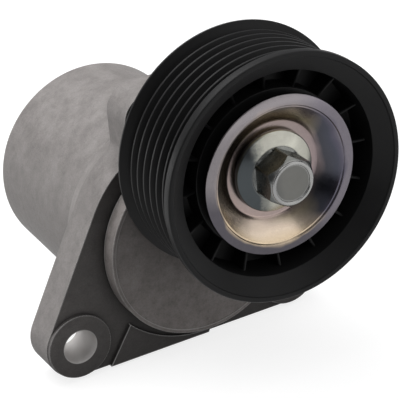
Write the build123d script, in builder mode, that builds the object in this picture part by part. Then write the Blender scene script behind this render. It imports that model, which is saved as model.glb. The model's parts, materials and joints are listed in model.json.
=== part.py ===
# Automatic belt tensioner with a ribbed idler pulley, in millimetres.
# Origin: centre of the three mounting bolts, on the flange's mounting face.
# -Y points to the front (pulley side), +Z up, +X right seen from the front.
# "Forward" distances are measured from the mounting face towards the front.
import os
from math import cos, degrees, radians, sin, tan

from build123d import *

# ---- clearances -------------------------------------------------------------
SEAT_GAP = 0.05         # between pieces of one body that are seated together
RUNNING_GAP = 0.06      # radial gap of a shaft in its bushing
FACE_GAP = 0.15         # axial gap between faces that turn on each other
STOP_GAP = 0.5          # arm lug to its stop at either end of the travel
OPEN_GAP = 0.6          # pieces that pass each other without touching
ROOT_SINK = 0.5         # ribs run this far into the wall that they grow from

# ---- mounting flange and spring housing --------------------------------------
BOLT_CIRCLE_D = 78.5
BOLT_COUNT = 3
BOLT_HOLE_D = 10.0
EAR_R = 9.8
EAR_BOSS_R = 9.6
EAR_BOSS_H = 1.2
TOP_EAR_HALF_W = 12.2
TOP_EAR_H = 9.8
TOP_EAR_CORNER_R = 7.3
FLANGE_T = 11.0
FLANGE_R = 33.3
FLANGE_EDGE_R = 0.2
EAR_BLEND_R = 4.0
PAD_H = 1.1
PAD_INNER_R = 31.2
PAD_LEFT_X = -30.2      # both from the pivot
PAD_RIGHT_X = 1.5
PAD_ARC_START = 223.0   # of the pad's inner arc seen from the pivot, from +X
PAD_ARC_END = 274.0

PIVOT_X = 4.9
PIVOT_Z = 3.0
HOUSING_FRONT_R = 31.0
HOUSING_BACK_R = 30.0
HOUSING_DEPTH = 53.9
HOUSING_BLEND = 6.0
HOUSING_BORE_R = 26.0
HOUSING_FLOOR_T = 6.0
HOUSING_EDGE_R = 1.6
HOUSING_ROOT_INSET = 0.1  # of the barrel's root inside the flange's edge
HUB_POST_R = 12.5
HUB_POST_FRONT = -5.0   # forward of the mounting face
BACK_POCKET_R = 13.0
BACK_POCKET_DEPTH = 4.0
BACK_RING_INNER_R = 16.0
BACK_RING_OUTER_R = 25.0
BACK_RING_DEPTH = 1.5
BACK_RIB_COUNT = 6
BACK_RIB_T = 2.4

# ---- pivot ---------------------------------------------------------------------
SHAFT_R = 7.0
BUSHING_WALL = 1.5
BUSHING_L = 15.0
THRUST_WASHER_T = 1.5
REAR_WASHER_T = 1.0
REAR_WASHER_R = 12.0
THRUST_WASHER_INSET = 0.3  # of the front washer's rim inside the hub post's
RETAINING_PLATE_T = 1.4
RETAINING_PLATE_R = 10.5
RING_T = 0.9
RING_R = 8.2
RING_GROOVE_DEPTH = 0.7
RING_OPENING = 20.0     # degrees, at the bottom of the ring
SHAFT_END_L = 0.6

# ---- arm -------------------------------------------------------------------------
ARM_LENGTH = 30.2
ARM_ANGLE = 69.1        # of the pulley axis seen from the pivot, from +X
ARM_TRAVEL = 45.0
DISC_R = 28.3
DISC_T = 5.2
DISC_EDGE_R = 0.2
DISC_FACE_INSET = 1.1
DISC_FACE_DEPTH = 0.25
ARM_NECK_R = 15.0
ARM_BOSS_R = 14.0
ARM_SHOULDER_R = 12.5
NECK_RISE = 2.0         # root of the pulley boss above the cap
NECK_ROOT_R = 12.0
NECK_ROOT_AT = 12.0     # from the pivot, along the arm
BOLT_HEAD_ROOM_R = 8.2
BOLT_HEAD_ROOM_H = 8.5
ARM_HUB_R = 12.0
SLEEVE_WALL = 2.0
SKIRT_WALL = 2.6
SKIRT_BACK = 2.0        # forward of the mounting face
SLEEVE_FLOOR = 2.6
SLEEVE_LIP_W = 1.6
SLEEVE_LIP_T = 0.4
STOP_LUG_ANGLE = 250.0
STOP_LUG_SPAN = 14.0
STOP_LUG_DEPTH = 6.5
STOP_RIB_SPAN = 9.0
STOP_RIB_T = 1.4
STOP_RIB_DROP = 0.5     # front end of the stops behind the skirt's end
LUG_INSET = 0.4         # of the lug's root inside the skirt's two walls
LUG_SINK = 1.0          # of the lug into the skirt, from its end
CAP_SKIN_T = 2.0        # left in front of the pivot shaft
PILOT_INSET = 2.0       # of the bearing's pilot behind the bearing's front
THREAD_RUNOUT = 1.0

# ---- torsion spring --------------------------------------------------------------
WIRE_D = 4.6
COIL_INSET = 1.5        # wire's middle inside the skirt's bore
COIL_TURNS = 6.5
SPRING_SEAT_T = 1.2
SPRING_LUG_H = 4.0
SPRING_LUG_SPAN = 12.0
SPRING_END_ANGLE = 1.0  # free angle between a coil's end and its lug
SEAT_END_ANGLE = 2.0    # free angle between the seat's ends and the arm's lug

# ---- pulley ------------------------------------------------------------------------
GROOVE_COUNT = 7
GROOVE_PITCH = 3.56
GROOVE_ANGLE = 40.0
GROOVE_DEPTH = 2.7
CREST_R = 33.96
CREST_FLAT = 0.7
RIM_R = 35.54
FIRST_CREST = 24.3      # forward of the mounting face
FRONT_LAND = 2.7
REAR_LAND = 0.9
RIM_EDGE = 0.45
RIM_BORE_R = 29.3
FACE_BAND_R = 34.1      # inner radius of the narrow outer band of the front face
FACE_STEP = 0.45
FACE_DISH = 3.3
WEB_T = 3.0
HUB_WALL = 3.0
HUB_LIP = 1.2
HUB_LIP_T = 1.1
RIB_COUNT = 16
RIB_T = 1.2
RIB_DROP = 1.3          # front edge of the ribs below the front face's inner edge
RIB_INNER_DROP = 3.6

# ---- bearing -----------------------------------------------------------------------
BEARING_BORE_R = 8.5
BEARING_R = 20.0
BEARING_W = 12.0
INNER_RING_R = 12.2
OUTER_RING_BORE_R = 16.5
BALL_D = 6.75
BALL_COUNT = 8
BALL_GAP = 0.12
RACE_CONFORMITY = 0.53
CAGE_R = 14.25
CAGE_T = 1.7
CAGE_W = 8.6
SEAL_T = 0.8
SEAL_INSET = 0.4
SEAL_LIP_GAP = 0.35     # between the seal's lip and the inner ring

# ---- dust shields and bolt -----------------------------------------------------------
SHIELD_T = 1.0
SHIELD_R = 22.9
SHIELD_BAND_W = 3.1
SHIELD_BAND_SLOPE = 0.6
SHIELD_STEP = 0.7
SHIELD_LEDGE_W = 0.7
SHIELD_FLAT_R = 13.9
SHIELD_DISH = 5.0
SHIELD_HOLE_GAP = 0.25
REAR_SHIELD_R = 18.0
REAR_SHIELD_FLAT_R = 14.5
REAR_SHIELD_DISH = 1.4
BOLT_D = 10.0
BOLT_L = 25.0
BOLT_FLANGE_R = 11.7
BOLT_FLANGE_T = 1.6
BOLT_FLANGE_RISE = 1.4
BOLT_AF = 14.0
BOLT_HEAD_H = 11.7
BOLT_CHAMFER_R = 6.5
BOLT_DISH_R = 5.2
BOLT_DISH_DEPTH = 0.6
BOLT_TIP_CHAMFER = 0.8
BOLT_FLANGE_EDGE = 0.3
BOLT_HEAD_ROOT = 0.6    # of the flange's cone beyond the head's flats

# ---- worked out from the values above ------------------------------------------------
BOLT_CIRCLE_R = BOLT_CIRCLE_D / 2
EARS = [
    (BOLT_CIRCLE_R * cos(radians(90 + turn)), BOLT_CIRCLE_R * sin(radians(90 + turn)))
    for turn in (0, 120, 240)
]
TOP_EAR, LEFT_EAR, RIGHT_EAR = EARS
PULLEY_X = PIVOT_X + ARM_LENGTH * cos(radians(ARM_ANGLE))
PULLEY_Z = PIVOT_Z + ARM_LENGTH * sin(radians(ARM_ANGLE))
FLANGE_BOTTOM_Z = LEFT_EAR[1] - EAR_R

DISC_BACK = FLANGE_T + OPEN_GAP
DISC_FRONT = DISC_BACK + DISC_T
NECK_BACK = FLANGE_T + EAR_BOSS_H + OPEN_GAP
NECK_FRONT = DISC_FRONT + NECK_RISE
GROOVE_HALF_TOP = (GROOVE_PITCH - CREST_FLAT) / 2
GROOVE_SLOPE = tan(radians(GROOVE_ANGLE / 2))
GROOVE_HALF_FLOOR = GROOVE_HALF_TOP - GROOVE_DEPTH * GROOVE_SLOPE
GROOVE_FLOOR_R = CREST_R - GROOVE_DEPTH
RIM_WALL_RUN = GROOVE_HALF_TOP + (RIM_R - CREST_R) * GROOVE_SLOPE
FIRST_GROOVE = FIRST_CREST - GROOVE_PITCH / 2
LAST_GROOVE = FIRST_GROOVE + (GROOVE_COUNT - 1) * GROOVE_PITCH
RIM_BACK = FIRST_GROOVE - RIM_WALL_RUN - REAR_LAND
RIM_FRONT = LAST_GROOVE + RIM_WALL_RUN + FRONT_LAND
GROOVE_CENTRE = (FIRST_GROOVE + LAST_GROOVE) / 2
BEARING_BACK = GROOVE_CENTRE - BEARING_W / 2
BEARING_FRONT = GROOVE_CENTRE + BEARING_W / 2
BALL_PATH_R = (INNER_RING_R + OUTER_RING_BORE_R) / 2
HUB_R = BEARING_R + HUB_WALL
WEB_BACK = GROOVE_CENTRE - WEB_T / 2
WEB_FRONT = GROOVE_CENTRE + WEB_T / 2
FACE_INNER = RIM_FRONT - FACE_STEP - FACE_DISH
REAR_SHIELD_BACK = BEARING_BACK - SHIELD_T
SHIELD_BACK = BEARING_FRONT
BOLT_SEAT = SHIELD_BACK + SHIELD_T

SLEEVE_OUTER_R = HOUSING_BORE_R - SEAT_GAP
SLEEVE_BORE_R = SLEEVE_OUTER_R - SLEEVE_WALL
SKIRT_OUTER_R = SLEEVE_BORE_R - RUNNING_GAP
SKIRT_INNER_R = SKIRT_OUTER_R - SKIRT_WALL
COIL_R = SKIRT_INNER_R - COIL_INSET
HOUSING_BACK = -HOUSING_DEPTH
HOUSING_FLOOR = HOUSING_BACK + HOUSING_FLOOR_T
POST_BACK = HOUSING_BACK + BACK_POCKET_DEPTH
BUSHING_R = SHAFT_R + RUNNING_GAP + BUSHING_WALL
THRUST_FRONT = HUB_POST_FRONT + SEAT_GAP + THRUST_WASHER_T
ARM_HUB_BACK = THRUST_FRONT + FACE_GAP
REAR_WASHER_BACK = POST_BACK - SEAT_GAP - REAR_WASHER_T
PLATE_FRONT = REAR_WASHER_BACK - FACE_GAP
PLATE_BACK = PLATE_FRONT - RETAINING_PLATE_T
RING_BACK = PLATE_BACK - SEAT_GAP - RING_T
SHAFT_BACK = RING_BACK - SHAFT_END_L
SHAFT_FRONT = DISC_FRONT - CAP_SKIN_T

SEAT_BACK = SKIRT_BACK - SEAT_GAP - SPRING_SEAT_T
SPRING_TOP = SEAT_BACK - FACE_GAP - WIRE_D / 2
SPRING_BOTTOM = HOUSING_FLOOR + FACE_GAP + WIRE_D / 2
COIL_PITCH = (SPRING_TOP - SPRING_BOTTOM) / COIL_TURNS
LUG_END = STOP_LUG_ANGLE - STOP_LUG_SPAN / 2
COIL_FRONT_ANGLE = LUG_END - SPRING_END_ANGLE
COIL_BACK_ANGLE = COIL_FRONT_ANGLE - 360 * COIL_TURNS

PIVOT_AXIS = Axis((PIVOT_X, 0, PIVOT_Z), (0, -1, 0))
PULLEY_AXIS = Axis((PULLEY_X, 0, PULLEY_Z), (0, -1, 0))


def face_plane(forward, x=0.0, z=0.0):
    """Plane that looks to the front, at a forward distance."""
    return Plane(origin=(x, -forward, z), x_dir=(1, 0, 0), z_dir=(0, -1, 0))


def pivot_plane(forward):
    return face_plane(forward, PIVOT_X, PIVOT_Z)


def pulley_plane(forward):
    return face_plane(forward, PULLEY_X, PULLEY_Z)


def section_plane(x, z, angle=0.0):
    """Plane through a front-to-back axis: local x is radial, local y is forward."""
    turn = radians(angle)
    return Plane(origin=(x, 0, z), x_dir=(cos(turn), 0, sin(turn)), z_dir=(sin(turn), 0, -cos(turn)))


PIVOT_SECTION = section_plane(PIVOT_X, PIVOT_Z)
PULLEY_SECTION = section_plane(PULLEY_X, PULLEY_Z)


def rectangle_points(inner, outer, back, front):
    """Corners of a rectangular half section, for a ring or a disc."""
    return [(inner, back), (outer, back), (outer, front), (inner, front)]


def sector_points(inner, outer, start, end):
    """Corners and arc middles of an annular sector, angles in degrees."""
    middle = (start + end) / 2
    inner_arc = [(inner * cos(radians(a)), inner * sin(radians(a))) for a in (start, middle, end)]
    outer_arc = [(outer * cos(radians(a)), outer * sin(radians(a))) for a in (start, middle, end)]
    return inner_arc, outer_arc


def draw_sector(inner, outer, start, end):
    """Closed outline of an annular sector, drawn in the open BuildLine."""
    inner_arc, outer_arc = sector_points(inner, outer, start, end)
    ThreePointArc(*inner_arc)
    Line(inner_arc[2], outer_arc[2])
    ThreePointArc(*outer_arc)
    Line(outer_arc[0], inner_arc[0])


os.makedirs("parts", exist_ok=True)


def save(part, name):
    part.label = name
    export_step(part, f"parts/{name}.step")


# ---- spring housing with the mounting flange -------------------------------------------
with BuildPart() as spring_housing:
    # flange plate: lower part is the hull of the pivot circle and the two lower ears
    with BuildSketch(face_plane(0)) as flange_outline:
        with BuildLine():
            CenterArc((PIVOT_X, PIVOT_Z), FLANGE_R, 0, 360)
            CenterArc(LEFT_EAR, EAR_R, 0, 360)
            CenterArc(RIGHT_EAR, EAR_R, 0, 360)
        make_hull()
        with Locations((PIVOT_X, FLANGE_BOTTOM_Z - FLANGE_R / 2)):
            Rectangle(4 * FLANGE_R, FLANGE_R, mode=Mode.SUBTRACT)
        ear_top = TOP_EAR[1] + TOP_EAR_H
        with Locations((TOP_EAR[0], (ear_top + PIVOT_Z) / 2)):
            Rectangle(2 * TOP_EAR_HALF_W, ear_top - PIVOT_Z)
        ear_corners = flange_outline.vertices().group_by(Axis.Y)[-1]
        fillet(ear_corners, TOP_EAR_CORNER_R)
        ear_roots = [
            v for v in flange_outline.vertices()
            if abs(abs(v.X - TOP_EAR[0]) - TOP_EAR_HALF_W) < 0.01 and v.Y < TOP_EAR[1]
        ]
        fillet(ear_roots, EAR_BLEND_R)
    extrude(amount=FLANGE_T)
    flange_rim = spring_housing.faces().sort_by(Axis.Y)[0].outer_wire().edges()
    fillet(flange_rim, FLANGE_EDGE_R)

    # round bosses on the ears
    with BuildSketch(face_plane(0)):
        with Locations(*EARS):
            Circle(EAR_BOSS_R)
    extrude(amount=FLANGE_T + EAR_BOSS_H)
    boss_edges = [
        e for e in spring_housing.edges().filter_by(GeomType.CIRCLE)
        if abs(e.arc_center.Y + FLANGE_T + EAR_BOSS_H) < 0.01
    ]
    fillet(boss_edges, FLANGE_EDGE_R)

    # the arm's cap disc passes the two nearer bosses
    with BuildSketch(pivot_plane(FLANGE_T)):
        Circle(DISC_R + OPEN_GAP)
    extrude(amount=EAR_BOSS_H, mode=Mode.SUBTRACT)

    # raised pad along the lower edge
    pad_bottom = FLANGE_BOTTOM_Z - PIVOT_Z
    pad_angles = (PAD_ARC_START, (PAD_ARC_START + PAD_ARC_END) / 2, PAD_ARC_END)
    pad_arc = [(PAD_INNER_R * cos(radians(a)), PAD_INNER_R * sin(radians(a))) for a in pad_angles]
    with BuildSketch(pivot_plane(FLANGE_T)):
        with BuildLine():
            Line((PAD_LEFT_X, pad_bottom), pad_arc[0])
            ThreePointArc(*pad_arc)
            Line(pad_arc[2], (PAD_RIGHT_X, pad_bottom))
            Line((PAD_RIGHT_X, pad_bottom), (PAD_LEFT_X, pad_bottom))
        make_face()
    extrude(amount=PAD_H)

    # outer wall of the housing, blended into the flange
    with BuildSketch(PIVOT_SECTION):
        with BuildLine():
            Polyline(
                (0, 0),
                (FLANGE_R - HOUSING_ROOT_INSET, 0),
                (HOUSING_FRONT_R, -HOUSING_BLEND),
                (HOUSING_BACK_R, HOUSING_BACK),
                (0, HOUSING_BACK),
                close=True,
            )
        make_face()
    revolve(axis=PIVOT_AXIS)
    back_rim = spring_housing.edges().filter_by(GeomType.CIRCLE).sort_by(Axis.Y)[-1]
    fillet(back_rim, HOUSING_EDGE_R)

    # spring chamber, open to the front, with the hub post left standing
    with BuildSketch(PIVOT_SECTION):
        with BuildLine():
            Polyline(
                (0, FLANGE_T),
                (HOUSING_BORE_R, FLANGE_T),
                (HOUSING_BORE_R, HOUSING_FLOOR),
                (HUB_POST_R, HOUSING_FLOOR),
                (HUB_POST_R, HUB_POST_FRONT),
                (0, HUB_POST_FRONT),
                close=True,
            )
        make_face()
    revolve(axis=PIVOT_AXIS, mode=Mode.SUBTRACT)

    # bore for the bushings and the pockets in the back
    with BuildSketch(pivot_plane(HUB_POST_FRONT)):
        Circle(BUSHING_R + SEAT_GAP)
    extrude(amount=-(HUB_POST_FRONT - HOUSING_BACK), mode=Mode.SUBTRACT)
    with BuildSketch(pivot_plane(HOUSING_BACK)):
        Circle(BACK_POCKET_R)
    extrude(amount=BACK_POCKET_DEPTH, mode=Mode.SUBTRACT)
    rib_angle = 360 / BACK_RIB_COUNT
    half_rib = degrees(BACK_RIB_T / (BACK_RING_INNER_R + BACK_RING_OUTER_R))
    with BuildSketch(pivot_plane(HOUSING_BACK)):
        for step in range(BACK_RIB_COUNT):
            with BuildLine():
                draw_sector(
                    BACK_RING_INNER_R,
                    BACK_RING_OUTER_R,
                    step * rib_angle + half_rib,
                    (step + 1) * rib_angle - half_rib,
                )
            make_face()
    extrude(amount=BACK_RING_DEPTH, mode=Mode.SUBTRACT)

    # mounting holes
    with BuildSketch(face_plane(FLANGE_T + EAR_BOSS_H)):
        with Locations(*EARS):
            Circle(BOLT_HOLE_D / 2)
    extrude(amount=-(FLANGE_T + EAR_BOSS_H), mode=Mode.SUBTRACT)

    # stops for the arm's lug on the chamber wall, at each end of the travel
    stop_play = degrees(STOP_GAP / HOUSING_BORE_R)
    rest_stop = LUG_END + STOP_LUG_SPAN + stop_play
    load_stop = LUG_END - ARM_TRAVEL - stop_play
    with BuildSketch(pivot_plane(SKIRT_BACK - STOP_LUG_DEPTH)):
        for start in (rest_stop, load_stop - STOP_RIB_SPAN):
            with BuildLine():
                draw_sector(
                    HOUSING_BORE_R - STOP_RIB_T,
                    HOUSING_BORE_R + ROOT_SINK,
                    start,
                    start + STOP_RIB_SPAN,
                )
            make_face()
    extrude(amount=STOP_LUG_DEPTH - STOP_RIB_DROP)

    # lug on the floor that the spring's rear end bears on
    with BuildSketch(pivot_plane(HOUSING_FLOOR)):
        with BuildLine():
            draw_sector(
                COIL_R - WIRE_D / 2,
                COIL_R + WIRE_D / 2,
                COIL_BACK_ANGLE - SPRING_END_ANGLE - SPRING_LUG_SPAN,
                COIL_BACK_ANGLE - SPRING_END_ANGLE,
            )
        make_face()
    extrude(amount=SPRING_LUG_H)
save(spring_housing.part, "spring_housing")


# ---- pivot bushings, washers and shaft ---------------------------------------------------
def washer(inner, outer, back, front, plane=PIVOT_SECTION, axis=PIVOT_AXIS):
    with BuildPart() as ring:
        with BuildSketch(plane):
            with BuildLine():
                Polyline(*rectangle_points(inner, outer, back, front), close=True)
            make_face()
        revolve(axis=axis)
    return ring.part


BUSHING_BORE_R = SHAFT_R + RUNNING_GAP
front_bushing_back = HUB_POST_FRONT - BUSHING_L
save(washer(BUSHING_BORE_R, BUSHING_R, front_bushing_back, HUB_POST_FRONT), "front_pivot_bushing")
save(washer(BUSHING_BORE_R, BUSHING_R, POST_BACK, POST_BACK + BUSHING_L), "rear_pivot_bushing")
save(
    washer(BUSHING_BORE_R, HUB_POST_R - THRUST_WASHER_INSET, HUB_POST_FRONT + SEAT_GAP, THRUST_FRONT),
    "front_thrust_washer",
)
save(washer(BUSHING_BORE_R, REAR_WASHER_R, REAR_WASHER_BACK, POST_BACK - SEAT_GAP), "rear_thrust_washer")
save(washer(SHAFT_R + SEAT_GAP, RETAINING_PLATE_R, PLATE_BACK, PLATE_FRONT), "retaining_plate")

with BuildPart() as shaft_retaining_ring:
    ring_inner = SHAFT_R - RING_GROOVE_DEPTH + SEAT_GAP
    with BuildSketch(pivot_plane(RING_BACK)):
        Circle(RING_R)
        Circle(ring_inner, mode=Mode.SUBTRACT)
        with BuildLine():
            draw_sector(ring_inner - 1, RING_R + 1, -90 - RING_OPENING / 2, -90 + RING_OPENING / 2)
        make_face(mode=Mode.SUBTRACT)
    extrude(amount=RING_T)
save(shaft_retaining_ring.part, "shaft_retaining_ring")

with BuildPart() as pivot_shaft:
    with BuildSketch(PIVOT_SECTION):
        with BuildLine():
            Polyline(
                (0, SHAFT_BACK),
                (SHAFT_R - SHAFT_END_L / 2, SHAFT_BACK),
                (SHAFT_R, SHAFT_BACK + SHAFT_END_L / 2),
                (SHAFT_R, RING_BACK - SEAT_GAP),
                (SHAFT_R - RING_GROOVE_DEPTH, RING_BACK - SEAT_GAP),
                (SHAFT_R - RING_GROOVE_DEPTH, RING_BACK + RING_T + SEAT_GAP),
                (SHAFT_R, RING_BACK + RING_T + SEAT_GAP),
                (SHAFT_R, SHAFT_FRONT),
                (0, SHAFT_FRONT),
                close=True,
            )
        make_face()
    revolve(axis=PIVOT_AXIS)
save(pivot_shaft.part, "pivot_shaft")

# ---- damping sleeve in the housing's mouth ---------------------------------------------------
with BuildPart() as damping_sleeve:
    with BuildSketch(PIVOT_SECTION):
        with BuildLine():
            Polyline(
                (SLEEVE_BORE_R, SLEEVE_FLOOR),
                (SLEEVE_OUTER_R, SLEEVE_FLOOR),
                (SLEEVE_OUTER_R, FLANGE_T + SEAT_GAP),
                (SLEEVE_OUTER_R + SLEEVE_LIP_W, FLANGE_T + SEAT_GAP),
                (SLEEVE_OUTER_R + SLEEVE_LIP_W, FLANGE_T + SEAT_GAP + SLEEVE_LIP_T),
                (SLEEVE_BORE_R, FLANGE_T + SEAT_GAP + SLEEVE_LIP_T),
                close=True,
            )
        make_face()
    revolve(axis=PIVOT_AXIS)
save(damping_sleeve.part, "damping_sleeve")

# ---- arm: cap disc, neck and pulley boss ---------------------------------------------------------
with BuildPart() as tensioner_arm:
    # cap disc, with a neck that clears the ear bosses
    with BuildSketch(pivot_plane(DISC_BACK)):
        Circle(DISC_R)
    extrude(amount=DISC_T)
    with BuildSketch(face_plane(NECK_BACK)):
        with BuildLine():
            CenterArc((PIVOT_X, PIVOT_Z), DISC_R, 0, 360)
            CenterArc((PULLEY_X, PULLEY_Z), ARM_NECK_R, 0, 360)
        make_hull()
    extrude(amount=DISC_FRONT - NECK_BACK)
    fillet(tensioner_arm.faces().sort_by(Axis.Y)[0].outer_wire().edges(), DISC_EDGE_R)
    # shallow flat inside the bright edge of the cap
    with BuildSketch(pivot_plane(DISC_FRONT)):
        Circle(DISC_R - DISC_FACE_INSET)
    extrude(amount=-DISC_FACE_DEPTH, mode=Mode.SUBTRACT)
    # thicker root of the pulley boss
    root_x = PIVOT_X + NECK_ROOT_AT * cos(radians(ARM_ANGLE))
    root_z = PIVOT_Z + NECK_ROOT_AT * sin(radians(ARM_ANGLE))
    with BuildSketch(face_plane(NECK_BACK)):
        with BuildLine():
            CenterArc((root_x, root_z), NECK_ROOT_R, 0, 360)
            CenterArc((PULLEY_X, PULLEY_Z), ARM_BOSS_R, 0, 360)
        make_hull()
    extrude(amount=NECK_FRONT - NECK_BACK)
    # pulley boss, with the pilot that the bearing sits on
    with BuildSketch(PULLEY_SECTION):
        with BuildLine():
            Polyline(
                (0, NECK_BACK),
                (ARM_BOSS_R, NECK_BACK),
                (ARM_BOSS_R, NECK_FRONT),
                (ARM_SHOULDER_R, REAR_SHIELD_BACK - SEAT_GAP),
                (BEARING_BORE_R - SEAT_GAP, REAR_SHIELD_BACK - SEAT_GAP),
                (BEARING_BORE_R - SEAT_GAP, BEARING_FRONT - PILOT_INSET),
                (0, BEARING_FRONT - PILOT_INSET),
                close=True,
            )
        make_face()
    revolve(axis=PULLEY_AXIS)
    # room for the head of the upper mounting bolt while the arm is at rest
    with BuildSketch(face_plane(DISC_BACK, *TOP_EAR)):
        Circle(BOLT_HEAD_ROOM_R)
    extrude(amount=BOLT_HEAD_ROOM_H + FLANGE_T + EAR_BOSS_H - DISC_BACK, mode=Mode.SUBTRACT)
    # threaded hole of the pulley bolt
    with BuildSketch(pulley_plane(BEARING_FRONT - PILOT_INSET)):
        Circle(BOLT_D / 2 + SEAT_GAP)
    extrude(amount=-(BEARING_FRONT - PILOT_INSET - (BOLT_SEAT - BOLT_L - THREAD_RUNOUT)), mode=Mode.SUBTRACT)
    # hub on the pivot shaft and skirt that turns in the damping sleeve
    with BuildSketch(pivot_plane(ARM_HUB_BACK)):
        Circle(ARM_HUB_R)
    extrude(amount=DISC_BACK - ARM_HUB_BACK)
    with BuildSketch(pivot_plane(SKIRT_BACK)):
        Circle(SKIRT_OUTER_R)
        Circle(SKIRT_INNER_R, mode=Mode.SUBTRACT)
    extrude(amount=DISC_BACK - SKIRT_BACK)
    # lug that meets the stops and takes the spring's front end
    with BuildSketch(pivot_plane(SKIRT_BACK - STOP_LUG_DEPTH)):
        with BuildLine():
            draw_sector(
                COIL_R - WIRE_D / 2,
                HOUSING_BORE_R - OPEN_GAP,
                LUG_END,
                LUG_END + STOP_LUG_SPAN,
            )
        make_face()
    extrude(amount=STOP_LUG_DEPTH - SPRING_SEAT_T - 2 * SEAT_GAP)
    with BuildSketch(pivot_plane(SKIRT_BACK - STOP_LUG_DEPTH)):
        with BuildLine():
            draw_sector(
                SKIRT_INNER_R + LUG_INSET,
                SKIRT_OUTER_R - LUG_INSET,
                LUG_END,
                LUG_END + STOP_LUG_SPAN,
            )
        make_face()
    extrude(amount=STOP_LUG_DEPTH + LUG_SINK)
    with BuildSketch(pivot_plane(ARM_HUB_BACK)):
        Circle(SHAFT_R + SEAT_GAP)
    extrude(amount=SHAFT_FRONT + SEAT_GAP - ARM_HUB_BACK, mode=Mode.SUBTRACT)
save(tensioner_arm.part, "tensioner_arm")

# ---- spring and its polymer seat -----------------------------------------------------------------
with BuildPart() as spring_seat:
    with BuildSketch(pivot_plane(SEAT_BACK)):
        with BuildLine():
            draw_sector(
                COIL_R - WIRE_D / 2,
                SKIRT_INNER_R - SEAT_GAP,
                LUG_END + STOP_LUG_SPAN + SEAT_END_ANGLE,
                LUG_END + 360 - SEAT_END_ANGLE,
            )
        make_face()
    extrude(amount=SPRING_SEAT_T)
save(spring_seat.part, "spring_seat")

coil_turn = radians(COIL_BACK_ANGLE)
coil_plane = Plane(
    origin=(PIVOT_X, -SPRING_BOTTOM, PIVOT_Z),
    x_dir=(cos(coil_turn), 0, sin(coil_turn)),
    z_dir=(0, -1, 0),
)
with BuildPart() as torsion_spring:
    with BuildLine() as coil:
        Helix(pitch=COIL_PITCH, height=SPRING_TOP - SPRING_BOTTOM, radius=COIL_R)
    with BuildSketch(Plane(origin=coil.line @ 0, z_dir=coil.line % 0)):
        Circle(WIRE_D / 2)
    sweep(path=coil.line, is_frenet=True)
save(torsion_spring.part.moved(coil_plane.location), "torsion_spring")

# ---- pulley ------------------------------------------------------------------------------------------
rim_points = [
    (RIM_BORE_R, RIM_BACK),
    (RIM_R - RIM_EDGE, RIM_BACK),
    (RIM_R, RIM_BACK + RIM_EDGE),
    (RIM_R, FIRST_GROOVE - RIM_WALL_RUN),
]
for groove in range(GROOVE_COUNT):
    centre = FIRST_GROOVE + groove * GROOVE_PITCH
    if groove > 0:
        rim_points.append((CREST_R, centre - GROOVE_HALF_TOP))
    rim_points.append((GROOVE_FLOOR_R, centre - GROOVE_HALF_FLOOR))
    rim_points.append((GROOVE_FLOOR_R, centre + GROOVE_HALF_FLOOR))
    if groove < GROOVE_COUNT - 1:
        rim_points.append((CREST_R, centre + GROOVE_HALF_TOP))
rim_points += [
    (RIM_R, LAST_GROOVE + RIM_WALL_RUN),
    (RIM_R, RIM_FRONT - RIM_EDGE),
    (RIM_R - RIM_EDGE, RIM_FRONT),
    (FACE_BAND_R, RIM_FRONT),
    (FACE_BAND_R - FACE_STEP / 2, RIM_FRONT - FACE_STEP),
    (RIM_BORE_R, FACE_INNER),
    (RIM_BORE_R, WEB_FRONT),
    (HUB_R, WEB_FRONT),
    (HUB_R, BEARING_FRONT + HUB_LIP_T),
    (BEARING_R - HUB_LIP, BEARING_FRONT + HUB_LIP_T),
    (BEARING_R - HUB_LIP, BEARING_FRONT + SEAT_GAP),
    (BEARING_R + SEAT_GAP, BEARING_FRONT + SEAT_GAP),
    (BEARING_R + SEAT_GAP, BEARING_BACK - SEAT_GAP),
    (BEARING_R - HUB_LIP, BEARING_BACK - SEAT_GAP),
    (BEARING_R - HUB_LIP, BEARING_BACK - HUB_LIP_T),
    (HUB_R, BEARING_BACK - HUB_LIP_T),
    (HUB_R, WEB_BACK),
    (RIM_BORE_R, WEB_BACK),
]
with BuildPart() as pulley:
    with BuildSketch(PULLEY_SECTION):
        with BuildLine():
            Polyline(*rim_points, close=True)
        make_face()
    revolve(axis=PULLEY_AXIS)
    rib_planes = [
        section_plane(PULLEY_X, PULLEY_Z, step * 360 / RIB_COUNT) for step in range(RIB_COUNT)
    ]
    with BuildSketch(*rib_planes):
        with BuildLine():
            Polyline(
                (HUB_R - ROOT_SINK, WEB_FRONT - ROOT_SINK),
                (RIM_BORE_R + ROOT_SINK, WEB_FRONT - ROOT_SINK),
                (RIM_BORE_R + ROOT_SINK, FACE_INNER - RIB_DROP),
                (HUB_R - ROOT_SINK, FACE_INNER - RIB_INNER_DROP),
                close=True,
            )
        make_face()
        with BuildLine():
            Polyline(
                (HUB_R - ROOT_SINK, BEARING_BACK),
                (RIM_BORE_R + ROOT_SINK, RIM_BACK + RIB_DROP),
                (RIM_BORE_R + ROOT_SINK, WEB_BACK + ROOT_SINK),
                (HUB_R - ROOT_SINK, WEB_BACK + ROOT_SINK),
                close=True,
            )
        make_face()
    extrude(amount=RIB_T / 2, both=True)
save(pulley.part, "pulley")

# ---- ball bearing -----------------------------------------------------------------------------------
RACE_R = BALL_D * RACE_CONFORMITY
INNER_RACE_R = BALL_PATH_R - BALL_D / 2 - BALL_GAP + RACE_R
OUTER_RACE_R = BALL_PATH_R + BALL_D / 2 + BALL_GAP - RACE_R


def bearing_ring(inner, outer, race_centre):
    with BuildPart() as ring:
        with BuildSketch(PULLEY_SECTION):
            with BuildLine():
                Polyline(*rectangle_points(inner, outer, BEARING_BACK, BEARING_FRONT), close=True)
            make_face()
            with Locations((race_centre, GROOVE_CENTRE)):
                Circle(RACE_R, mode=Mode.SUBTRACT)
        revolve(axis=PULLEY_AXIS)
    return ring.part


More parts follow.
